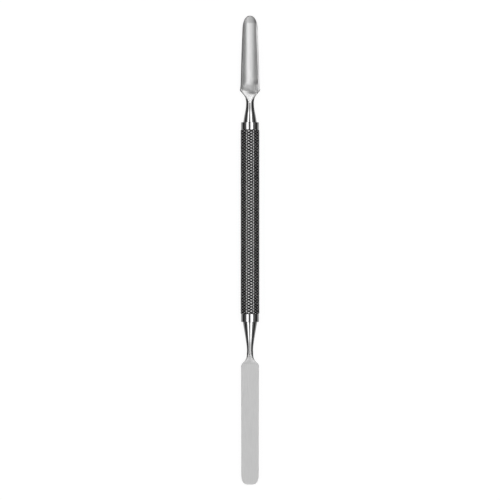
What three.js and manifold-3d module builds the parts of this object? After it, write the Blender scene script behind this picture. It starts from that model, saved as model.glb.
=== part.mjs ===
// A double-ended cuticle pusher in stainless steel, lying face up on its grip.
// Units are millimetres. X runs across the blades, Y runs along the tool with the gouge
// at +Y and the spatula at -Y, and Z is up. The origin is on the surface that the grip
// rests on, below the middle of the tool's length. Each working end is one forging
// whose tang is pressed through a collar into a blind bore of the grip. Heights in the
// profiles below are measured from the tool's axis.

import * as THREE from 'three';
import { mergeVertices } from 'three/addons/utils/BufferGeometryUtils.js';
import Module from 'manifold-3d';

const manifoldLibrary = await Module();
manifoldLibrary.setup();

// ---- Driving dimensions ----

const toolLength = 150;
const halfLength = toolLength / 2;

// The grip is an octagonal bar, knurled all round.
const gripSides = 8;
const gripAcrossFlats = 6.0;
const gripGougeEnd = 38.4;
const gripSpatulaEnd = -20.4;
const gripEndChamfer = 0.2;
const axisHeight = gripAcrossFlats / 2;

// A collar caps each end of the grip, and the tang of the working end runs through it.
const collarRadius = 2.85;
const collarEdge = 0.15;
const gougeCollarLength = 2.4;
const spatulaCollarLength = 2.6;
const gougeConeY = gripGougeEnd + gougeCollarLength;
const spatulaConeY = gripSpatulaEnd - spatulaCollarLength;

// Tang and bore share one axis and one number of sides, so the clearance is even.
const tangRadius = 1.6;
const boreRadius = tangRadius + 0.03;
const boreDepth = 14;
const drillPointLength = 1;
const tangTipChamfer = 0.3;
const tangTipGap = 0.5;

// Each shank is a long cone from its collar down to a thin neck.
const gougeConeRadius = 2.15;
const gougeNeckRadius = 1.17;
const gougeNeckY = 47.2;
const spatulaConeRadius = 2.3;
const spatulaNeckRadius = 0.92;
const spatulaNeckY = -31.9;
const neckBlendLength = 1.2;
const neckBlendGrowth = 1.1;

// A blade leaves its neck as a square section that just fits inside the round one.
const squareInRound = 0.7;

// The gouge is widest at its shoulder, tapers to its mouth and has a rounded tip.
const gougeShoulderY = 51.2;
const gougeShoulderHalfWidth = 3.25;
const gougeRootY = 53.0;
const gougeRootHalfWidth = 3.0;
const gougeMouthY = 70.2;
const gougeMouthHalfWidth = 2.42;
const gougeLandHeight = 1.45;
const gougeLandStartHeight = 1.2;
const gougeMouthHeight = 0.5;
const gougeBackHeight = -1.2;
const gougeBackRadius = 3.6;
const gougeTipFullness = 0.6;

// A round flute is cut along the gouge's face, and opens into a bevel at the tip. It
// starts on a ramp, a list of [y, height] from the neck's top down to the flute's floor.
const fluteRadius = 2.75;
const fluteAxisHeight = 2.45;
const fluteRamp = [
  [49.2, 1.2],
  [50.2, 1.04],
  [51.0, 0.78],
  [52.6, 0],
  [53.8, -0.35],
];
const fluteBevelY = 72.6;
const fluteBevelDepth = 0.55;

// The spatula is a flat blade that thins towards its rounded end.
const spatulaFlareY = -34.6;
const spatulaFlareHalfWidth = 1.1;
const spatulaShoulderY = -37.1;
const spatulaShoulderHalfWidth = 2.9;
const spatulaRootY = -38.2;
const spatulaRootHalfWidth = 2.83;
const spatulaRoundingY = -71;
const spatulaEndHalfWidth = 2.75;
const spatulaEndFullness = 0.81;
const spatulaRootThickness = 1.1;
const spatulaEndThickness = 0.5;

const roundSides = 48;
const curveSteps = 10;

// ---- Looks ----

const knurledSteel = { color: 0x8a8a8a, roughness: 0.35, metalness: 1 };
const polishedSteel = { color: 0xd8d8d8, roughness: 0.08, metalness: 1 };
const satinSteel = { color: 0xbebebe, roughness: 0.35, metalness: 1 };

// ---- Helpers ----

// Turns a list of [radius, y] points, given in rising y, into a solid about the Y axis.
function turned(profile, sides = roundSides, phase = 0) {
  const points = profile.map(([radius, y]) => new THREE.Vector2(radius, y));
  return new THREE.LatheGeometry(points, sides, phase);
}

// Makes a manifold solid from a closed three.js geometry.
function solidOf(geometry) {
  const bare = geometry.clone();
  bare.deleteAttribute('normal');
  bare.deleteAttribute('uv');
  const merged = mergeVertices(bare, 1e-5);
  const mesh = new manifoldLibrary.Mesh({
    numProp: 3,
    vertProperties: merged.attributes.position.array,
    triVerts: new Uint32Array(merged.index.array),
  });
  return new manifoldLibrary.Manifold(mesh);
}

// Turns a manifold solid back into a geometry that a Mesh can show.
function geometryOf(solid) {
  const mesh = solid.getMesh();
  const geometry = new THREE.BufferGeometry();
  geometry.setAttribute('position', new THREE.BufferAttribute(mesh.vertProperties, 3));
  geometry.setIndex(new THREE.BufferAttribute(mesh.triVerts, 1));
  geometry.computeVertexNormals();
  return geometry;
}

// Extrudes an outline by a depth that is centred on the plane it is drawn in.
function extruded(outline, depth) {
  const geometry = new THREE.ExtrudeGeometry(outline, { depth, bevelEnabled: false });
  geometry.translate(0, 0, -depth / 2);
  return geometry;
}

// A plan outline is drawn in X and Y. Its +X side is given, from the neck to the tip.
function planSolid(side) {
  const right = side.getPoints(curveSteps);
  const left = right.slice(0, -1).map(({ x, y }) => new THREE.Vector2(-x, y));
  const outline = new THREE.Shape(right.concat(left.reverse()));
  return solidOf(extruded(outline, gripAcrossFlats));
}

// A side outline is a list of [y, height] points, and is extruded across the tool.
function sideSolid(corners) {
  const outline = new THREE.Shape(corners.map(([y, height]) => new THREE.Vector2(y, height)));
  const geometry = extruded(outline, 2 * gripAcrossFlats);
  const acrossTool = new THREE.Vector3(1, 0, 0);
  const alongTool = new THREE.Vector3(0, 1, 0);
  const upwards = new THREE.Vector3(0, 0, 1);
  geometry.applyMatrix4(new THREE.Matrix4().makeBasis(alongTool, upwards, acrossTool));
  return solidOf(geometry);
}

// A named mesh, lifted so that the tool's axis is at its height above the surface.
function piece(name, geometry, look) {
  const mesh = new THREE.Mesh(geometry, new THREE.MeshStandardMaterial(look));
  mesh.name = name;
  mesh.position.z = axisHeight;
  return mesh;
}

// ---- Grip ----

// A drilled hole with a conical point. It starts just outside its mouth, and runs
// towards +Y where direction is 1 and towards -Y where it is -1.
function drillHole(mouthY, direction) {
  const floorY = mouthY + direction * boreDepth;
  const profile = [
    [0, mouthY - direction],
    [boreRadius, mouthY - direction],
    [boreRadius, floorY],
    [0, floorY + direction * drillPointLength],
  ];
  return solidOf(turned(direction > 0 ? profile : profile.reverse()));
}

function gripBar() {
  const halfSector = Math.PI / gripSides;
  const cornerRadius = gripAcrossFlats / 2 / Math.cos(halfSector);
  const endRadius = cornerRadius - gripEndChamfer;
  const profile = [
    [0, gripSpatulaEnd],
    [endRadius, gripSpatulaEnd],
    [cornerRadius, gripSpatulaEnd + gripEndChamfer],
    [cornerRadius, gripGougeEnd - gripEndChamfer],
    [endRadius, gripGougeEnd],
    [0, gripGougeEnd],
  ];
  const bar = solidOf(turned(profile, gripSides, halfSector));
  const spatulaBore = drillHole(gripSpatulaEnd, 1);
  const gougeBore = drillHole(gripGougeEnd, -1);
  return geometryOf(bar.subtract(spatulaBore).subtract(gougeBore));
}

// ---- Collars ----

function collarRing(lowY, highY) {
  return turned([
    [boreRadius, lowY],
    [collarRadius - collarEdge, lowY],
    [collarRadius, lowY + collarEdge],
    [collarRadius, highY - collarEdge],
    [collarRadius - collarEdge, highY],
    [boreRadius, highY],
    [boreRadius, lowY],
  ]);
}

// ---- Gouge end ----

// Tang, cone and neck. The neck runs on inside the blade.
function gougeShank() {
  const tangTipY = gripGougeEnd - boreDepth + tangTipGap;
  const profile = [
    [0, tangTipY],
    [tangRadius - tangTipChamfer, tangTipY],
    [tangRadius, tangTipY + tangTipChamfer],
    [tangRadius, gougeConeY],
    [gougeConeRadius, gougeConeY],
    [gougeNeckRadius * neckBlendGrowth, gougeNeckY - neckBlendLength],
    [gougeNeckRadius, gougeNeckY],
    [gougeNeckRadius, gougeShoulderY - neckBlendLength],
    [0, gougeShoulderY],
  ];
  return solidOf(turned(profile));
}

// The blade from above: neck, flare, shoulder, slow taper and rounded tip.
function gougePlan() {
  const startHalfWidth = gougeNeckRadius * squareInRound;
  const side = new THREE.Path();
  side.moveTo(startHalfWidth, gougeNeckY);
  side.quadraticCurveTo(
    gougeNeckRadius + 0.3,
    gougeNeckY + 1.7,
    gougeShoulderHalfWidth,
    gougeShoulderY,
  );
  side.lineTo(gougeRootHalfWidth, gougeRootY);
  side.lineTo(gougeMouthHalfWidth, gougeMouthY);
  side.bezierCurveTo(
    gougeMouthHalfWidth,
    THREE.MathUtils.lerp(gougeMouthY, halfLength, gougeTipFullness),
    gougeMouthHalfWidth * gougeTipFullness,
    halfLength,
    0,
    halfLength,
  );
  return planSolid(side);
}

// The blade from its side: its land rises to the shoulder and falls towards the tip.
function gougeSide() {
  const startHeight = gougeNeckRadius * squareInRound;
  return sideSolid([
    [gougeNeckY, -startHeight],
    [gougeShoulderY, gougeBackHeight],
    [halfLength, gougeBackHeight],
    [halfLength, gougeMouthHeight],
    [fluteBevelY, gougeMouthHeight],
    [gougeShoulderY + 0.2, gougeLandHeight],
    [gougeShoulderY - 1.7, gougeLandStartHeight],
    [gougeNeckY, startHeight],
  ]);
}

// The round form that the blade's back is shaped to.
function gougeBack() {
  const form = turned(
    [
      [0, gougeNeckY - 1],
      [gougeBackRadius, gougeNeckY - 1],
      [gougeBackRadius, halfLength + 1],
      [0, halfLength + 1],
    ],
    2 * roundSides,
  );
  form.translate(0, 0, gougeBackHeight + gougeBackRadius);
  return solidOf(form);
}

// A straight round cut that widens at the bevel, and stays above its ramp.
function flute() {
  const startY = fluteRamp[0][0];
  const endY = halfLength + 1;
  const bevelRadius = fluteRadius + fluteBevelDepth;
  const cutter = turned(
    [
      [0, startY],
      [fluteRadius, startY],
      [fluteRadius, fluteBevelY],
      [bevelRadius, halfLength],
      [bevelRadius, endY],
      [0, endY],
    ],
    2 * roundSides,
  );
  cutter.translate(0, 0, fluteAxisHeight);
  const aboveRamp = sideSolid([
    ...fluteRamp,
    [gougeMouthY, gougeBackHeight],
    [endY, gougeBackHeight],
    [endY, fluteAxisHeight],
    [startY, fluteAxisHeight],
  ]);
  return solidOf(cutter).intersect(aboveRamp);
}

function gougeEnd() {
  const blade = gougePlan().intersect(gougeSide()).intersect(gougeBack());
  return geometryOf(blade.add(gougeShank()).subtract(flute()));
}

// ---- Spatula end ----

// Blade, neck, cone and tang, in rising y. The neck starts inside the blade.
function spatulaShank() {
  const tangTipY = gripSpatulaEnd + boreDepth - tangTipGap;
  const profile = [
    [0, spatulaShoulderY],
    [spatulaNeckRadius / 2, spatulaShoulderY + neckBlendLength],
    [spatulaNeckRadius, spatulaFlareY + neckBlendLength],
    [spatulaNeckRadius, spatulaNeckY],
    [spatulaNeckRadius * neckBlendGrowth, spatulaNeckY + neckBlendLength],
    [spatulaConeRadius, spatulaConeY],
    [tangRadius, spatulaConeY],
    [tangRadius, tangTipY - tangTipChamfer],
    [tangRadius - tangTipChamfer, tangTipY],
    [0, tangTipY],
  ];
  return solidOf(turned(profile));
}

// The blade from above: neck, flare, shoulder, straight sides and rounded end.
function spatulaPlan() {
  const side = new THREE.Path();
  side.moveTo(spatulaNeckRadius * squareInRound, spatulaNeckY);
  side.lineTo(spatulaFlareHalfWidth, spatulaFlareY);
  side.lineTo(spatulaShoulderHalfWidth, spatulaShoulderY);
  side.lineTo(spatulaRootHalfWidth, spatulaRootY);
  side.lineTo(spatulaEndHalfWidth, spatulaRoundingY);
  side.bezierCurveTo(
    spatulaEndHalfWidth,
    THREE.MathUtils.lerp(spatulaRoundingY, -halfLength, spatulaEndFullness),
    spatulaEndHalfWidth * spatulaEndFullness,
    -halfLength,
    0,
    -halfLength,
  );
  return planSolid(side);
}

// The blade from its side, symmetric above and below the axis.
function spatulaSide() {
  const upper = [
    [-halfLength, spatulaEndThickness / 2],
    [spatulaShoulderY, spatulaRootThickness / 2],
    [spatulaNeckY, spatulaNeckRadius * squareInRound],
  ];
  const lower = upper.map(([y, height]) => [y, -height]);
  return sideSolid(lower.concat(upper.reverse()));
}

function spatulaEnd() {
  return geometryOf(spatulaPlan().intersect(spatulaSide()).add(spatulaShank()));
}

// ---- Assembly ----

const tool = new THREE.Group();
tool.add(piece('grip_handle', gripBar(), knurledSteel));
tool.add(piece('gouge_collar', collarRing(gripGougeEnd, gougeConeY), polishedSteel));
tool.add(piece('spatula_collar', collarRing(spatulaConeY, gripSpatulaEnd), polishedSteel));
tool.add(piece('gouge_end', gougeEnd(), satinSteel));
tool.add(piece('spatula_end', spatulaEnd(), satinSteel));

export default tool;
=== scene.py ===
from bisect import bisect_right
from math import cos, hypot, pi, radians, sin, sqrt, tan

import bpy
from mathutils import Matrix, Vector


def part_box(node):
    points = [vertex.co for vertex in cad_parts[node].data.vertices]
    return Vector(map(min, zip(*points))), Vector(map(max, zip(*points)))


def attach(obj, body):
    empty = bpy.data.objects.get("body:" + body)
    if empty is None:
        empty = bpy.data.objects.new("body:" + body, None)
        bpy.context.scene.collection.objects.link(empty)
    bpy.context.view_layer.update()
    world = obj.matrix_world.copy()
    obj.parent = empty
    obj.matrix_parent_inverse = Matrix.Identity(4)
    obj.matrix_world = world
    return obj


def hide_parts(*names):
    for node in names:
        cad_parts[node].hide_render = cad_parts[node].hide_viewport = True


# The looks of a double-ended cuticle pusher: a knurled octagonal grip, a polished collar
# at each end of it, a hollow gouge at +Y and a flat spatula at -Y. Shapes are worked out
# in millimetres with heights from the tool's axis, and become metres in mesh_piece().

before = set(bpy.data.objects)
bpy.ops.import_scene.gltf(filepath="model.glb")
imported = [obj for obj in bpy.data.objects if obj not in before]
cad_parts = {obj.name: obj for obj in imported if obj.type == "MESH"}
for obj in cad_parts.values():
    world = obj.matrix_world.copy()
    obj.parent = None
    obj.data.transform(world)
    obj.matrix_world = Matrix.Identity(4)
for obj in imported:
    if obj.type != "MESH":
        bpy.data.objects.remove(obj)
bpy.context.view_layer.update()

MM = 0.001


def span(node):
    """The lowest and highest Y of a CAD node, in millimetres."""
    low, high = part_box(node)
    return low.y / MM, high.y / MM


GRIP_START, GRIP_END = span("grip_handle")
GOUGE_TANG, GOUGE_TIP = span("gouge_end")
GOUGE_CONE = span("gouge_collar")[1]
SPATULA_TIP, SPATULA_TANG = span("spatula_end")
SPATULA_CONE = span("spatula_collar")[0]
AXIS_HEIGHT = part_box("grip_handle")[1].z / MM / 2

# ---- Dimensions, in millimetres ----

GRIP_SIDES = 8
GRIP_FLAT_RADIUS = 3.0
GRIP_END_RADIUS = 2.85
BORE_RADIUS = 1.63
BORE_DEPTH = 14.0
DRILL_POINT = 1.0

KNURL_ROWS = 65
KNURL_COLUMNS_PER_SIDE = 3
KNURL_STEPS = 4
KNURL_DEPTH = 0.27
KNURL_CREST = 0.5
KNURL_CORNER_SHARE = 0.1

COLLAR_RADIUS = 2.85
COLLAR_EDGE = 0.15
COLLAR_EDGE_STEPS = 6
COLLAR_SIDES = 160

TANG_RADIUS = 1.6
TANG_CHAMFER = 0.3
CONE_EDGE = 0.06
END_SIDES = 160
RING_STEP = 0.2
TIP_STEPS = 26


# ---- Mesh helpers ----


def linear(low, high, count):
    """Evenly spaced numbers from low to high, both included."""
    return [low + (high - low) * step / (count - 1) for step in range(count)]


def mix(first, second, share):
    return first + (second - first) * share


def smoothstep(low, high, value):
    """Eases from 0 at low to 1 at high, where low may be the larger of the two."""
    share = min(1.0, max(0.0, (value - low) / (high - low)))
    return share * share * (3.0 - 2.0 * share)


def curve_through(points):
    """A smooth function through [place, value] points that never overshoots them."""
    places = [point[0] for point in points]
    values = [point[1] for point in points]
    steps = [b - a for a, b in zip(places, places[1:])]
    slopes = [(b - a) / step for a, b, step in zip(values, values[1:], steps)]
    tangents = [slopes[0]]
    for before, after in zip(slopes, slopes[1:]):
        product = before * after
        tangents.append(2.0 * product / (before + after) if product > 0 else 0.0)
    tangents.append(slopes[-1])

    def value_at(place):
        k = min(max(bisect_right(places, place) - 1, 0), len(steps) - 1)
        t = min(1.0, max(0.0, (place - places[k]) / steps[k]))
        rise = t * t * (3.0 - 2.0 * t)
        start = t * (1.0 - t) ** 2 * tangents[k]
        finish = t * t * (t - 1.0) * tangents[k + 1]
        return mix(values[k], values[k + 1], rise) + steps[k] * (start + finish)

    return value_at


def mesh_piece(name, points, faces, body="root"):
    """A new object from points in millimetres, riding on a body."""
    mesh = bpy.data.meshes.new(name)
    metres = [(x * MM, y * MM, (z + AXIS_HEIGHT) * MM) for x, y, z in points]
    mesh.from_pydata(metres, [], faces)
    mesh.update()
    piece = bpy.data.objects.new(name, mesh)
    bpy.context.collection.objects.link(piece)
    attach(piece, body)
    return piece


def loft_faces(ring_count, sides, closed=False):
    """Quads between neighbouring rings; closed joins the last ring to the first.

    They face outwards where the rings follow each other in rising y and each one runs
    clockwise seen from -Y.
    """
    faces = []
    for ring in range(ring_count if closed else ring_count - 1):
        here = ring * sides
        there = (ring + 1) % ring_count * sides
        for side in range(sides):
            after = (side + 1) % sides
            faces.append((here + side, here + after, there + after, there + side))
    return faces


def capped_loft(name, rings, start_pole, end_pole):
    """Skins equal rings and closes both ends with fans onto a pole."""
    sides = len(rings[0])
    points = [point for ring in rings for point in ring] + [start_pole, end_pole]
    start = len(points) - 2
    end = len(points) - 1
    last = (len(rings) - 1) * sides
    faces = loft_faces(len(rings), sides)
    for side in range(sides):
        after = (side + 1) % sides
        faces.append((start, after, side))
        faces.append((end, last + side, last + after))
    return mesh_piece(name, points, faces)


def smooth_shading(piece, crease_degrees=30.0):
    mesh = piece.data
    mesh.shade_smooth()
    mesh.set_sharp_from_angle(angle=radians(crease_degrees))


def store_values(piece, name, values):
    """Keeps one number for each point, for the piece's material to read."""
    attribute = piece.data.attributes.new(name, "FLOAT", "POINT")
    attribute.data.foreach_set("value", values)


def round_ring(radius, y, sides):
    """A circle about the tool's axis, clockwise seen from -Y."""
    ring = []
    for side in range(sides):
        angle = 2.0 * pi * side / sides
        ring.append((radius * sin(angle), y, radius * cos(angle)))
    return ring


# ---- Knurled grip ----


def groove_share(column, row):
    """0 on the flat crest of a diamond and 1 in the groove round it, from grid steps."""
    u = (column + row) / (2.0 * KNURL_STEPS)
    v = (column - row) / (2.0 * KNURL_STEPS)
    from_centre = 2.0 * max(abs(u - round(u)), abs(v - round(v)))
    return max(0.0, from_centre - KNURL_CREST) / (1.0 - KNURL_CREST)


def grip_handle():
    columns_per_side = KNURL_COLUMNS_PER_SIDE * KNURL_STEPS
    columns = GRIP_SIDES * columns_per_side
    rows = KNURL_ROWS * 2 * KNURL_STEPS + 1
    half_side = GRIP_FLAT_RADIUS * tan(pi / GRIP_SIDES)
    directions = []
    for column in range(columns):
        side, step = divmod(column, columns_per_side)
        across = mix(-half_side, half_side, step / columns_per_side)
        turn = 2.0 * pi * side / GRIP_SIDES
        x = across * cos(turn) + GRIP_FLAT_RADIUS * sin(turn)
        z = GRIP_FLAT_RADIUS * cos(turn) - across * sin(turn)
        directions.append((x, z))

    rings = [round_ring(BORE_RADIUS, GRIP_START + BORE_DEPTH, columns)]
    rings.append(round_ring(BORE_RADIUS, GRIP_START, columns))
    grooves = [0.0] * (2 * columns)
    for row, y in enumerate(linear(GRIP_START, GRIP_END, rows)):
        chamfer_radius = GRIP_END_RADIUS + min(y - GRIP_START, GRIP_END - y)
        ring = []
        for column, (x, z) in enumerate(directions):
            face_radius = hypot(x, z)
            share = groove_share(column, row)
            if column % columns_per_side == 0:
                share *= KNURL_CORNER_SHARE
            radius = min(face_radius - KNURL_DEPTH * share, chamfer_radius)
            grooves.append(share)
            ring.append((x * radius / face_radius, y, z * radius / face_radius))
        rings.append(ring)
    rings.append(round_ring(BORE_RADIUS, GRIP_END, columns))
    rings.append(round_ring(BORE_RADIUS, GRIP_END - BORE_DEPTH, columns))
    grooves += [0.0] * (2 * columns)

    start_pole = (0.0, GRIP_START + BORE_DEPTH + DRILL_POINT, 0.0)
    end_pole = (0.0, GRIP_END - BORE_DEPTH - DRILL_POINT, 0.0)
    piece = capped_loft("knurled_grip", rings, start_pole, end_pole)
    crease_triangles(piece, grooves + [0.0, 0.0])
    return piece


def crease_triangles(piece, grooves):
    """Splits each quad of the knurling along its crease, and stores each point's groove share."""
    mesh = piece.data
    points = [tuple(vertex.co) for vertex in mesh.vertices]
    faces = []
    for polygon in mesh.polygons:
        corners = list(polygon.vertices)
        if len(corners) == 4:
            a, b, c, d = corners
            along_main = abs(grooves[a] - grooves[c]) < abs(grooves[b] - grooves[d])
            if along_main:
                faces += [(a, b, c), (a, c, d)]
            else:
                faces += [(a, b, d), (b, c, d)]
        else:
            faces.append(corners)
    mesh.clear_geometry()
    mesh.from_pydata(points, [], faces)
    mesh.update()
    store_values(piece, "groove", grooves)


# ---- Collars ----


def collar(name, low_y, high_y):
    """A turned ring with rounded outer edges, pressed round the tang."""
    profile = [(BORE_RADIUS, low_y)]
    for step in range(COLLAR_EDGE_STEPS + 1):
        angle = pi / 2.0 * step / COLLAR_EDGE_STEPS
        reach = COLLAR_EDGE * sin(angle)
        profile.append((COLLAR_RADIUS - COLLAR_EDGE + reach, low_y + COLLAR_EDGE * (1.0 - cos(angle))))
    for step in range(COLLAR_EDGE_STEPS + 1):
        angle = pi / 2.0 * step / COLLAR_EDGE_STEPS
        reach = COLLAR_EDGE * cos(angle)
        profile.append((COLLAR_RADIUS - COLLAR_EDGE + reach, high_y - COLLAR_EDGE * (1.0 - sin(angle))))
    profile.append((BORE_RADIUS, high_y))
    rings = [round_ring(radius, y, COLLAR_SIDES) for radius, y in profile]
    points = [point for ring in rings for point in ring]
    piece = mesh_piece(name, points, loft_faces(len(rings), COLLAR_SIDES, closed=True))
    smooth_shading(piece)
    return piece


# ---- Working ends ----

GOUGE_NECK_Y = 47.2
GOUGE_NECK_HALF_WIDTH = 1.235
GOUGE_BLADE_Y = 50.6
GOUGE_SHOULDER_Y = 51.2
GOUGE_SHOULDER_HALF_WIDTH = 3.25
GOUGE_MOUTH_Y = 70.2
GOUGE_MOUTH_HALF_WIDTH = 2.42

SPATULA_NECK_Y = -32.0
SPATULA_NECK_HALF_WIDTH = 0.97
SPATULA_BLADE_Y = -36.6
SPATULA_SHOULDER_Y = -37.1
SPATULA_SHOULDER_HALF_WIDTH = 2.88
SPATULA_ROUNDING_Y = -71.0

# Each outline is a list of [y, half width].
GOUGE_NECK = [
    (GOUGE_CONE, 2.15), (43.3, 1.74), (45.0, 1.4), (46.2, 1.27),
    (GOUGE_NECK_Y, GOUGE_NECK_HALF_WIDTH),
]
GOUGE_FLARE = [
    (GOUGE_NECK_Y, GOUGE_NECK_HALF_WIDTH), (48.4, 1.41), (49.1, 1.7), (50.3, 2.66),
    (50.75, 3.08), (GOUGE_SHOULDER_Y, GOUGE_SHOULDER_HALF_WIDTH),
]
GOUGE_BLADE = [
    (GOUGE_SHOULDER_Y, GOUGE_SHOULDER_HALF_WIDTH), (51.7, 3.12), (52.9, 3.01),
    (58.7, 2.85), (64.4, 2.67), (GOUGE_MOUTH_Y, GOUGE_MOUTH_HALF_WIDTH),
]
SPATULA_NECK = [
    (SPATULA_NECK_Y, SPATULA_NECK_HALF_WIDTH), (-31.0, 1.02), (-29.6, 1.2),
    (-27.5, 1.53), (SPATULA_CONE, 2.3),
]
SPATULA_FLARE = [
    (SPATULA_SHOULDER_Y, SPATULA_SHOULDER_HALF_WIDTH), (-36.4, 2.59), (-35.8, 1.98),
    (-35.2, 1.49), (-34.5, 1.15), (-33.6, 1.03), (SPATULA_NECK_Y, SPATULA_NECK_HALF_WIDTH),
]
SPATULA_BLADE = [
    (SPATULA_ROUNDING_Y, 2.76), (-59.5, 2.76), (-44.0, 2.81), (-38.0, 2.82),
    (-37.5, 2.84), (SPATULA_SHOULDER_Y, SPATULA_SHOULDER_HALF_WIDTH),
]

GOUGE_TIP_POWER = 2.2
GOUGE_LAND = curve_through([(49.5, 1.2), (50.4, 1.27), (51.4, 1.45), (72.6, 0.5), (75.0, 0.5)])
GOUGE_BACK_RADIUS = 3.6
GOUGE_BACK_HEIGHT = -1.2

# The hollow is a round flute. At the shoulder it ends on a slanting ramp, where the lip
# that rounds its edge is wider, and at the tip it opens into a bevel.
FLUTE_RADIUS = 2.75
FLUTE_AXIS_HEIGHT = 2.45
FLUTE_AXIS_X = -0.03
FLUTE_BEVEL_Y = 72.6
FLUTE_BEVEL_DEPTH = 0.55
RAMP = curve_through([
    (49.1, 1.15), (49.8, 1.06), (50.5, 0.8), (51.4, 0.4), (52.6, 0.05), (53.8, -0.35),
    (56.0, -1.4),
])
RAMP_SKEW = 0.45
RAMP_BLEND = 0.3
FLUTE_LIP = 0.08
SHOULDER_LIP = 0.5
SHOULDER_LIP_Y = (51.6, 53.2)
LEFT_BEVEL = 0.36
LEFT_BEVEL_SLOPE = 1.5
TIP_CHAMFER = 0.2
RIM_ROUNDING = 0.12
LEAST_STEEPNESS = 0.01

# Shine is the steel's reflectance. Its changes over the working ends are set one by one, and
# stand in for the way the photo's lights fall on them as much as for the finish itself.
CONE_SHINE = 0.66
# Painted shade: the gouge's polished neck is darker than its cone.
NECK_PAINTED_SHADE = 0.4
SATIN_SHINE = 0.6
# Painted highlight on the right-hand side of the gouge's face.
RIM_PAINTED_HIGHLIGHT = 0.8
# Painted highlight: a bright line along the floor of the hollow, a little left of its middle.
PAINTED_HIGHLIGHT_SHINE = 0.89
PAINTED_HIGHLIGHT_X = -0.46
WALL_SHINE = 0.58
# Painted shade on the right wall of the hollow, near its end at the shoulder.
SHADED_WALL_SHINE = 0.44
# Painted light and shade across the ramp: lighter on the left, darker right of the middle, brightest at
# the right edge.
RAMP_PAINTED_LIGHT = curve_through([(-2.0, 0.76), (0.0, 0.68), (1.2, 0.52), (2.4, 1.0)])
# Painted highlight on the face of the blade where it rises from the neck, behind the ramp.
ROOT_PAINTED_HIGHLIGHT = 1.0
# Painted light on the bevel at the tip: lighter on the left and darker on the right.
BEVEL_PAINTED_LIGHT = 0.68
BEVEL_PAINTED_LIGHT_SLOPE = -0.13
SPATULA_SHINE = 0.66
# Painted shade: the spatula's polished neck is darker than its cone.
SPATULA_NECK_PAINTED_SHADE = 0.42

# Where each of those gives way to the next: the start and end of a fade, in millimetres.
HOLLOW_FLOOR_FADE = (0.06, 0.0)
PAINTED_HIGHLIGHT_FADE = (0.1, 1.8)
SHADED_X_FADE = (0.2, 1.4)
SHADED_Y_FADE = (54.8, 53.4)
RAMP_Y_FADE = (53.4, 52.3)
BEVEL_Y_FADE = (FLUTE_BEVEL_Y, FLUTE_BEVEL_Y + 0.1)
RIM_X_FADE = (0.0, 1.5)
FACE_HEIGHT_FADE = (-0.4, 0.6)
ROOT_Y_FADE = (50.5, 49.8)
NECK_Y_FADE = (43.5, 45.5)
SPATULA_NECK_Y_FADE = (-28.0, -30.5)
SPATULA_SHINE_Y_FADE = (-33.0, -35.0)

# Satin is 1 on the blades and 0 on the polished necks. On the gouge it ends in a point.
SATIN_POINT_Y = 46.6
SATIN_POINT_SLOPE = 1.4
SATIN_POINT_FADE = (0.0, 0.5)
SPATULA_SATIN_Y_FADE = (-32.5, -34.5)

SPATULA_END_POWER = 3.2
SPATULA_THICKNESS = curve_through([(-75.0, 0.5), (-37.1, 1.1)])
SPATULA_EDGE = 0.1


def superellipse(y, start_y, tip_y, half_width, power):
    """Half width of a rounded end that starts square at start_y and closes at tip_y."""
    share = min(1.0, abs(y - start_y) / abs(tip_y - start_y))
    return half_width * (1.0 - share**power) ** (1.0 / power)


def section_fractions(count):
    """Positions across a section from -1 to 1, closer together towards its rims."""
    return [sin(pi / 2.0 * (2.0 * (step + 0.5) / count - 1.0)) for step in range(count)]


def blade_ring(y, half_width, top, bottom):
    """A closed section: its top from -X to +X, then its underside back again."""
    fractions = section_fractions(END_SIDES // 2)
    ring = [(half_width * f, y, top(half_width * f)) for f in fractions]
    ring += [(half_width * f, y, bottom(half_width * f)) for f in reversed(fractions)]
    return ring


def circle_ring(y, radius):
    """A round section with its points where blade_ring has them."""
    def upper(x):
        return sqrt(max(0.0, radius * radius - x * x))

    return blade_ring(y, radius, upper, lambda x: -upper(x))


def mixed_ring(first, second, share):
    return [
        tuple(mix(a, b, share) for a, b in zip(point, other))
        for point, other in zip(first, second)
    ]


def soft_minimum(first, second, blend):
    """The smaller of two heights, with the corner between them rounded."""
    gap = max(0.0, 1.0 - abs(first - second) / blend)
    return min(first, second) - blend * gap * gap / 4.0


def flute_height(x, y):
    """Height of the hollow's floor: a round flute that ends on a ramp at its back."""
    bevel_share = min(1.0, max(0.0, (y - FLUTE_BEVEL_Y) / (GOUGE_TIP - FLUTE_BEVEL_Y)))
    radius = FLUTE_RADIUS + FLUTE_BEVEL_DEPTH * bevel_share
    square = radius**2 - (x - FLUTE_AXIS_X) ** 2
    flute = FLUTE_AXIS_HEIGHT - sqrt(max(0.0, square))
    return -soft_minimum(-flute, -RAMP(y + RAMP_SKEW * x), RAMP_BLEND)


def distance_to_tip(x, y):
    """Rough distance to the gouge's rounded tip, or the whole chamfer short of the mouth."""
    if y <= GOUGE_MOUTH_Y:
        return TIP_CHAMFER
    tip_length = GOUGE_TIP - GOUGE_MOUTH_Y
    across = abs(x) / GOUGE_MOUTH_HALF_WIDTH
    along = (y - GOUGE_MOUTH_Y) / tip_length
    power = GOUGE_TIP_POWER
    inside = max(0.0, 1.0 - across**power - along**power)
    steepness = hypot(
        power * across ** (power - 1.0) / GOUGE_MOUTH_HALF_WIDTH,
        power * along ** (power - 1.0) / tip_length,
    )
    return inside / max(steepness, LEAST_STEEPNESS)


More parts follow.
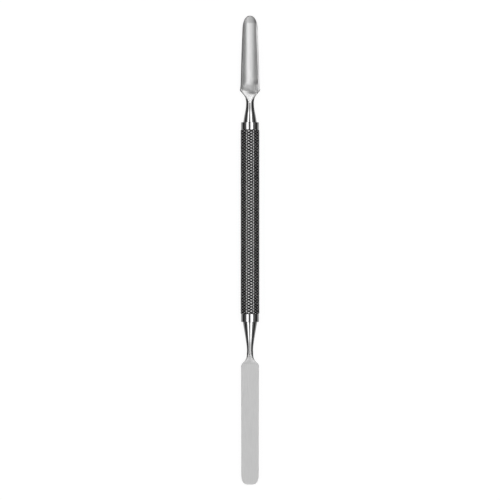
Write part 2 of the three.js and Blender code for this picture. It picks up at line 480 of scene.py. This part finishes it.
def gouge_ring(y, half_width):
    land = GOUGE_LAND(y)
    lip = mix(SHOULDER_LIP, FLUTE_LIP, smoothstep(*SHOULDER_LIP_Y, y))

    def top(x):
        from_left = x + half_width
        from_right = half_width - x
        rim = land - LEFT_BEVEL_SLOPE * max(0.0, LEFT_BEVEL - from_left)
        if from_right < RIM_ROUNDING:
            rim -= RIM_ROUNDING - sqrt(RIM_ROUNDING**2 - (RIM_ROUNDING - from_right) ** 2)
        tip_drop = max(0.0, TIP_CHAMFER - distance_to_tip(x, y))
        return soft_minimum(rim, flute_height(x, y), lip) - tip_drop

    def bottom(x):
        return GOUGE_BACK_HEIGHT + GOUGE_BACK_RADIUS - sqrt(GOUGE_BACK_RADIUS**2 - x * x)

    return blade_ring(y, half_width, top, bottom)


def spatula_ring(y, half_width):
    half_thickness = SPATULA_THICKNESS(y) / 2.0

    def top(x):
        from_rim = half_width - abs(x)
        if from_rim >= SPATULA_EDGE:
            return half_thickness
        inwards = SPATULA_EDGE - from_rim
        return half_thickness - SPATULA_EDGE + sqrt(SPATULA_EDGE**2 - inwards**2)

    return blade_ring(y, half_width, top, lambda x: -top(x))


def tang_rings(tip_y, cone_y, cone_radius):
    """Rings of a chamfered tang and the step out to the foot of its cone."""
    direction = 1.0 if cone_y > tip_y else -1.0
    return [
        circle_ring(tip_y, TANG_RADIUS - TANG_CHAMFER),
        circle_ring(tip_y + direction * TANG_CHAMFER, TANG_RADIUS),
        circle_ring(cone_y, TANG_RADIUS),
        circle_ring(cone_y, cone_radius - CONE_EDGE),
        circle_ring(cone_y + direction * CONE_EDGE / 4.0, cone_radius - CONE_EDGE / 4.0),
    ]


def stations(start, end, step=RING_STEP):
    """Positions between two stations, about a step apart, with neither end included."""
    count = max(2, round(abs(end - start) / step))
    return linear(start, end, count + 1)[1:-1]


def tip_stations(start, tip):
    """Positions that close up towards a rounded tip, which is not included."""
    return [mix(start, tip, sin(pi / 2.0 * step / TIP_STEPS)) for step in range(TIP_STEPS)]


def gouge_end():
    neck = curve_through(GOUGE_NECK)
    flare = curve_through(GOUGE_FLARE)
    blade = curve_through(GOUGE_BLADE)
    rings = tang_rings(GOUGE_TANG, GOUGE_CONE, neck(GOUGE_CONE))
    rings += [circle_ring(y, neck(y)) for y in stations(GOUGE_CONE, GOUGE_NECK_Y)]
    for y in [GOUGE_NECK_Y] + stations(GOUGE_NECK_Y, GOUGE_SHOULDER_Y, RING_STEP / 2.0):
        share = smoothstep(GOUGE_NECK_Y, GOUGE_BLADE_Y, y)
        rings.append(mixed_ring(circle_ring(y, flare(y)), gouge_ring(y, flare(y)), share))
    for y in [GOUGE_SHOULDER_Y] + stations(GOUGE_SHOULDER_Y, GOUGE_MOUTH_Y):
        rings.append(gouge_ring(y, blade(y)))
    for y in tip_stations(GOUGE_MOUTH_Y, GOUGE_TIP):
        width = superellipse(
            y, GOUGE_MOUTH_Y, GOUGE_TIP, GOUGE_MOUTH_HALF_WIDTH, GOUGE_TIP_POWER
        )
        rings.append(gouge_ring(y, width))
    tip_floor = flute_height(0.0, GOUGE_TIP) - TIP_CHAMFER
    tip_height = (tip_floor + GOUGE_BACK_HEIGHT) / 2.0
    piece = capped_loft(
        "gouge_blade", rings, (0.0, GOUGE_TANG, 0.0), (0.0, GOUGE_TIP, tip_height)
    )
    smooth_shading(piece)
    corners = [vertex.co / MM for vertex in piece.data.vertices]
    # The stored shine holds painted highlights and painted shade as well as the steel's reflectance.
    store_values(piece, "shine_and_painted_light", [gouge_shine_and_painted_light(corner) for corner in corners])
    store_values(piece, "satin", [gouge_satin_share(corner) for corner in corners])
    return piece


def gouge_shine_and_painted_light(point):
    """Reflectance of the gouge with its painted highlights and painted shade, at a point whose z is
    measured from the resting surface.
    """
    x, y, z = point
    height = z - AXIS_HEIGHT
    in_hollow = smoothstep(*HOLLOW_FLOOR_FADE, abs(height - flute_height(x, y)))
    # Painted shade on the right wall near the back of the hollow.
    shaded = smoothstep(*SHADED_X_FADE, x) * smoothstep(*SHADED_Y_FADE, y)
    wall = mix(WALL_SHINE, SHADED_WALL_SHINE, shaded)
    # Painted highlight along the hollow, fading out towards its walls.
    hollow = mix(PAINTED_HIGHLIGHT_SHINE, wall, smoothstep(*PAINTED_HIGHLIGHT_FADE, abs(x - PAINTED_HIGHLIGHT_X)))
    # Painted light and shade across the ramp at the back of the hollow.
    hollow = mix(hollow, RAMP_PAINTED_LIGHT(x), smoothstep(*RAMP_Y_FADE, y))
    # Painted light on the tip's bevel, lighter to the left and darker to the right.
    bevel = BEVEL_PAINTED_LIGHT + BEVEL_PAINTED_LIGHT_SLOPE * x
    hollow = mix(hollow, bevel, smoothstep(*BEVEL_Y_FADE, y))

    on_face = smoothstep(*FACE_HEIGHT_FADE, height)
    # Painted highlight on the right-hand side of the face.
    rim = mix(SATIN_SHINE, RIM_PAINTED_HIGHLIGHT, smoothstep(*RIM_X_FADE, x) * on_face)
    blade = mix(rim, hollow, in_hollow)
    # Painted highlight where the blade's face rises from the neck.
    root = smoothstep(*ROOT_Y_FADE, y + RAMP_SKEW * x) * on_face
    blade = mix(blade, ROOT_PAINTED_HIGHLIGHT, root)
    # Painted shade darkens the neck behind the cone.
    neck = mix(CONE_SHINE, NECK_PAINTED_SHADE, smoothstep(*NECK_Y_FADE, y))
    return mix(neck, blade, gouge_satin_share(point))


def gouge_satin_share(point):
    """1 on the satin blade and 0 on the polished neck, with the satin ending in a point."""
    past_point = point.y - SATIN_POINT_Y - SATIN_POINT_SLOPE * abs(point.x)
    return smoothstep(*SATIN_POINT_FADE, past_point)


def spatula_end():
    neck = curve_through(SPATULA_NECK)
    flare = curve_through(SPATULA_FLARE)
    blade = curve_through(SPATULA_BLADE)
    rings = tang_rings(SPATULA_TANG, SPATULA_CONE, neck(SPATULA_CONE))
    rings += [circle_ring(y, neck(y)) for y in stations(SPATULA_CONE, SPATULA_NECK_Y)]
    flare_ys = stations(SPATULA_NECK_Y, SPATULA_SHOULDER_Y, RING_STEP / 2.0)
    for y in [SPATULA_NECK_Y] + flare_ys:
        share = smoothstep(SPATULA_NECK_Y, SPATULA_BLADE_Y, y)
        rings.append(mixed_ring(circle_ring(y, flare(y)), spatula_ring(y, flare(y)), share))
    for y in [SPATULA_SHOULDER_Y] + stations(SPATULA_SHOULDER_Y, SPATULA_ROUNDING_Y):
        rings.append(spatula_ring(y, blade(y)))
    end_width = blade(SPATULA_ROUNDING_Y)
    for y in tip_stations(SPATULA_ROUNDING_Y, SPATULA_TIP):
        width = superellipse(y, SPATULA_ROUNDING_Y, SPATULA_TIP, end_width, SPATULA_END_POWER)
        rings.append(spatula_ring(y, width))
    # These rings follow each other in falling y, so each one is turned round.
    rings = [list(reversed(ring)) for ring in rings]
    piece = capped_loft(
        "spatula_blade", rings, (0.0, SPATULA_TANG, 0.0), (0.0, SPATULA_TIP, 0.0)
    )
    smooth_shading(piece)
    ys = [vertex.co.y / MM for vertex in piece.data.vertices]
    # The stored shine holds painted shade on the neck as well as the steel's reflectance.
    store_values(piece, "shine_and_painted_light", [spatula_shine_and_painted_shade(y) for y in ys])
    store_values(piece, "satin", [smoothstep(*SPATULA_SATIN_Y_FADE, y) for y in ys])
    return piece


def spatula_shine_and_painted_shade(y):
    """Reflectance of the spatula with painted shade on its neck, which only changes along its length.
    """
    # Painted shade darkens the neck behind the cone.
    neck = mix(CONE_SHINE, SPATULA_NECK_PAINTED_SHADE, smoothstep(*SPATULA_NECK_Y_FADE, y))
    return mix(neck, SPATULA_SHINE, smoothstep(*SPATULA_SHINE_Y_FADE, y))


# ---- Materials ----

# Noise scales are per metre on each axis. A bump is its strength and its height in metres.
TURNING_SCALE = (300.0, 20000.0, 300.0)
TURNING_BUMP = (0.05, 0.00002)
SMUDGE_SCALE = (900.0, 900.0, 900.0)
POLISH_DARK = (0.63, 0.63, 0.64)
POLISH_LIGHT = (0.7, 0.7, 0.7)
POLISH_ROUGHNESS = (0.04, 0.09)

FINE_DETAIL = 4.0
GRAIN_SCALE = (9000.0, 260.0, 9000.0)
GRAIN_SHINE = (0.93, 1.07)
PATCH_SCALE = (700.0, 120.0, 700.0)
PATCH_BUMP = (0.1, 0.00002)
GOUGE_ROUGHNESS = 0.56
SPATULA_ROUGHNESS = 0.5
ROUGHNESS_SPREAD = 0.05
NECK_ROUGHNESS = 0.07

SPECKLE_SCALE = (2500.0, 2500.0, 2500.0)
SPECKLE_BUMP = (0.15, 0.00003)
GROOVE_COLOUR = (0.03, 0.03, 0.03)
CREST_DARK = (0.68, 0.68, 0.68)
CREST_LIGHT = (0.95, 0.95, 0.95)
CREST_FADE = (0.1, 0.45)
KNURL_ROUGHNESS = (0.36, 0.44)


def new_material(name):
    material = bpy.data.materials.new(name)
    material.use_nodes = True
    return material, material.node_tree, material.node_tree.nodes["Principled BSDF"]


def node(tree, kind, settings=None, **inputs):
    """A new node with its settings and the values of its inputs."""
    made = tree.nodes.new(kind)
    for key, value in (settings or {}).items():
        setattr(made, key, value)
    for key, value in inputs.items():
        made.inputs[key.replace("_", " ")].default_value = value
    return made


def object_coordinates(tree, scale):
    """Object coordinates stretched by a scale on each axis, per metre."""
    source = node(tree, "ShaderNodeTexCoord")
    mapping = node(tree, "ShaderNodeMapping", Scale=scale)
    tree.links.new(source.outputs["Object"], mapping.inputs["Vector"])
    return mapping.outputs["Vector"]


def streaks(tree, scale, detail=3.0):
    """Noise drawn out along the axes whose scale is low."""
    noise = node(tree, "ShaderNodeTexNoise", Scale=1.0, Detail=detail, Roughness=0.6)
    tree.links.new(object_coordinates(tree, scale), noise.inputs["Vector"])
    return noise.outputs["Fac"]


def remap(tree, source, low, high, from_low=0.3, from_high=0.7):
    """Maps a value's range onto low to high. Noise mostly lies between 0.3 and 0.7."""
    ranged = node(tree, "ShaderNodeMapRange")
    ranged.inputs["From Min"].default_value = from_low
    ranged.inputs["From Max"].default_value = from_high
    ranged.inputs["To Min"].default_value = low
    ranged.inputs["To Max"].default_value = high
    tree.links.new(source, ranged.inputs["Value"])
    return ranged.outputs["Result"]


def bump(tree, shader, height, strength, distance):
    bumped = node(tree, "ShaderNodeBump", Strength=strength, Distance=distance)
    tree.links.new(height, bumped.inputs["Height"])
    tree.links.new(bumped.outputs["Normal"], shader.inputs["Normal"])


def grey_ramp(tree, source, dark, light):
    """Blends two colours by a noise."""
    share = remap(tree, source, 0.0, 1.0)
    blend = node(tree, "ShaderNodeMix", {"data_type": "RGBA"})
    blend.inputs["A"].default_value = (*dark, 1.0)
    blend.inputs["B"].default_value = (*light, 1.0)
    tree.links.new(share, blend.inputs["Factor"])
    return blend.outputs["Result"]


def polished_steel():
    """Mirror finish with faint turning lines and a few smudges."""
    material, tree, shader = new_material("polished_steel")
    shader.inputs["Metallic"].default_value = 1.0
    turning = streaks(tree, TURNING_SCALE)
    smudges = streaks(tree, SMUDGE_SCALE)
    colour = grey_ramp(tree, smudges, POLISH_DARK, POLISH_LIGHT)
    tree.links.new(colour, shader.inputs["Base Color"])
    tree.links.new(remap(tree, smudges, *POLISH_ROUGHNESS), shader.inputs["Roughness"])
    bump(tree, shader, turning, *TURNING_BUMP)
    return material


def satin_steel(name, roughness):
    """Lengthwise satin on a blade that runs into a polished neck and cone, coloured by a stored shine
    that holds painted light and shade.
    """
    material, tree, shader = new_material(name)
    shader.inputs["Metallic"].default_value = 1.0
    grain = streaks(tree, GRAIN_SCALE, FINE_DETAIL)
    patches = streaks(tree, PATCH_SCALE)
    satin = node(tree, "ShaderNodeAttribute", {"attribute_name": "satin"}).outputs["Fac"]

    # The colour is the stored shine: the steel's reflectance with painted light and shade in it.
    shine_and_painted_light = node(tree, "ShaderNodeAttribute", {"attribute_name": "shine_and_painted_light"})
    mottle = node(tree, "ShaderNodeMix")
    mottle.inputs["A"].default_value = 1.0
    tree.links.new(satin, mottle.inputs["Factor"])
    tree.links.new(remap(tree, grain, *GRAIN_SHINE), mottle.inputs["B"])
    colour = node(tree, "ShaderNodeMath", {"operation": "MULTIPLY"})
    tree.links.new(shine_and_painted_light.outputs["Fac"], colour.inputs[0])
    tree.links.new(mottle.outputs["Result"], colour.inputs[1])
    tree.links.new(colour.outputs["Value"], shader.inputs["Base Color"])

    satin_roughness = remap(
        tree, grain, roughness - ROUGHNESS_SPREAD, roughness + ROUGHNESS_SPREAD
    )
    rough = node(tree, "ShaderNodeMix")
    rough.inputs["A"].default_value = NECK_ROUGHNESS
    tree.links.new(satin, rough.inputs["Factor"])
    tree.links.new(satin_roughness, rough.inputs["B"])
    tree.links.new(rough.outputs["Result"], shader.inputs["Roughness"])

    height = node(tree, "ShaderNodeMath", {"operation": "MULTIPLY"})
    tree.links.new(satin, height.inputs[0])
    tree.links.new(patches, height.inputs[1])
    bump(tree, shader, height.outputs["Value"], *PATCH_BUMP)
    return material


def knurled_steel():
    """Bright crests that turn nearly black down in the grooves."""
    material, tree, shader = new_material("knurled_steel")
    shader.inputs["Metallic"].default_value = 1.0
    groove = node(tree, "ShaderNodeAttribute", {"attribute_name": "groove"})
    speckle = streaks(tree, SPECKLE_SCALE, FINE_DETAIL)
    crest_colour = grey_ramp(tree, speckle, CREST_DARK, CREST_LIGHT)
    # Nearly black towards the bottom of each groove.
    crest_share = remap(tree, groove.outputs["Fac"], 1.0, 0.0, *CREST_FADE)
    colour = node(tree, "ShaderNodeMix", {"data_type": "RGBA"})
    colour.inputs["A"].default_value = (*GROOVE_COLOUR, 1.0)
    tree.links.new(crest_share, colour.inputs["Factor"])
    tree.links.new(crest_colour, colour.inputs["B"])
    tree.links.new(colour.outputs["Result"], shader.inputs["Base Color"])
    tree.links.new(remap(tree, speckle, *KNURL_ROUGHNESS), shader.inputs["Roughness"])
    bump(tree, shader, speckle, *SPECKLE_BUMP)
    return material


def finish_piece(piece, cad_node, material):
    piece.data.materials.append(material)
    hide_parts(cad_node)


polish = polished_steel()
finish_piece(grip_handle(), "grip_handle", knurled_steel())
for collar_node in ("gouge_collar", "spatula_collar"):
    ring = collar(f"{collar_node}_ring", *span(collar_node))
    finish_piece(ring, collar_node, polish)
gouge_satin = satin_steel("gouge_satin", GOUGE_ROUGHNESS)
finish_piece(gouge_end(), "gouge_end", gouge_satin)
spatula_satin = satin_steel("spatula_satin", SPATULA_ROUGHNESS)
finish_piece(spatula_end(), "spatula_end", spatula_satin)

# ---- Stage ----

# Lengths are in metres, except the camera's lens and sensor, which are in millimetres.
FLOOR_RADIUS = 1.5
STAGE_SIDES = 96
DOME_STEPS = 24
CAMERA_LENS = 200.0
CAMERA_SENSOR = 36.0
VIEW_WIDTH = 0.15985
LIGHT_HEIGHT = 0.5
LIGHT_INNER = 0.12
LIGHT_OUTER = 0.45
LIGHT_SHIFT = -0.05
LIGHT_LENGTH = 1.0
LIGHT_POWER = 1.87
FLOOR_BASE = 0.15
FLOOR_GLOW = 0.92
BACKDROP_GLOW = 1.0
CLIP_END = 10.0

# Grey of the room by height, from straight down at 0 to straight up at 1.
ROOM_GREYS = [(0.0, 0.45), (0.25, 0.3), (0.42, 0.02), (0.54, 0.012), (0.75, 0.15), (1.0, 0.12)]


def stage_piece(name, points, faces, base, glow):
    """A matt surface of the studio that glows white and shows in no reflection."""
    mesh = bpy.data.meshes.new(name)
    mesh.from_pydata(points, [], faces)
    surface = bpy.data.objects.new(name, mesh)
    bpy.context.collection.objects.link(surface)
    material, tree, shader = new_material(name)
    shader.inputs["Base Color"].default_value = (base, base, base, 1.0)
    shader.inputs["Roughness"].default_value = 1.0
    shader.inputs["Specular IOR Level"].default_value = 0.0
    shader.inputs["Emission Color"].default_value = (1.0, 1.0, 1.0, 1.0)
    shader.inputs["Emission Strength"].default_value = glow
    mesh.materials.append(material)
    surface.visible_glossy = False
    return surface


def stage_circle(radius, height):
    angles = [2.0 * pi * side / STAGE_SIDES for side in range(STAGE_SIDES)]
    return [(radius * cos(angle), radius * sin(angle), height) for angle in angles]


def light_table():
    """A floor that glows like a light table, so that it stays even."""
    disc = stage_circle(FLOOR_RADIUS, 0.0)
    stage_piece("floor", disc, [tuple(range(STAGE_SIDES))], FLOOR_BASE, FLOOR_GLOW)


def backdrop():
    """A dome over the floor that only the camera sees, so that it lights nothing."""
    points = []
    for step in range(DOME_STEPS):
        tilt = pi / 2.0 * step / DOME_STEPS
        points += stage_circle(FLOOR_RADIUS * cos(tilt), FLOOR_RADIUS * sin(tilt))
    faces = loft_faces(DOME_STEPS, STAGE_SIDES)
    last = (DOME_STEPS - 1) * STAGE_SIDES
    faces.append(tuple(range(last, last + STAGE_SIDES)))
    dome = stage_piece("backdrop", points, faces, 0.0, BACKDROP_GLOW)
    dome.visible_diffuse = False
    dome.visible_transmission = False
    dome.visible_shadow = False


def softbox(name, side):
    """A long soft light above one side of the tool, and parallel to it."""
    light = bpy.data.lights.new(name, "AREA")
    light.shape = "RECTANGLE"
    light.size = LIGHT_OUTER - LIGHT_INNER
    light.size_y = LIGHT_LENGTH
    light.energy = LIGHT_POWER
    box = bpy.data.objects.new(name, light)
    across = LIGHT_SHIFT + side * (LIGHT_OUTER + LIGHT_INNER) / 2.0
    box.location = (across, 0.0, LIGHT_HEIGHT)
    box.visible_camera = False
    bpy.context.collection.objects.link(box)


def studio_world():
    """A dim room: grey overhead, dark at the horizon and pale below."""
    world = bpy.data.worlds.new("studio")
    world.use_nodes = True
    tree = world.node_tree
    background = tree.nodes["Background"]
    direction = node(tree, "ShaderNodeTexCoord")
    axes = node(tree, "ShaderNodeSeparateXYZ")
    tree.links.new(direction.outputs["Generated"], axes.inputs["Vector"])
    share = remap(tree, axes.outputs["Z"], 0.0, 1.0, -1.0, 1.0)
    ramp = node(tree, "ShaderNodeValToRGB")
    stops = ramp.color_ramp.elements
    for position, _ in ROOM_GREYS[1:-1]:
        stops.new(position)
    for stop, (_, grey) in zip(stops, ROOM_GREYS):
        stop.color = (grey, grey, grey, 1.0)
    tree.links.new(share, ramp.inputs["Fac"])
    tree.links.new(ramp.outputs["Color"], background.inputs["Color"])
    bpy.context.scene.world = world


def overhead_camera():
    """Looks straight down at the whole tool, with +Y at the top of the frame."""
    camera_data = bpy.data.cameras.new("camera")
    camera_data.lens = CAMERA_LENS
    camera_data.sensor_width = CAMERA_SENSOR
    camera_data.clip_end = CLIP_END
    camera = bpy.data.objects.new("camera", camera_data)
    distance = VIEW_WIDTH * CAMERA_LENS / CAMERA_SENSOR
    camera.location = (0.0, 0.0, AXIS_HEIGHT * MM + distance)
    bpy.context.collection.objects.link(camera)
    bpy.context.scene.camera = camera


light_table()
backdrop()
softbox("softbox_left", -1.0)
softbox("softbox_right", 1.0)
studio_world()
overhead_camera()
bpy.context.scene.view_settings.view_transform = "Standard"
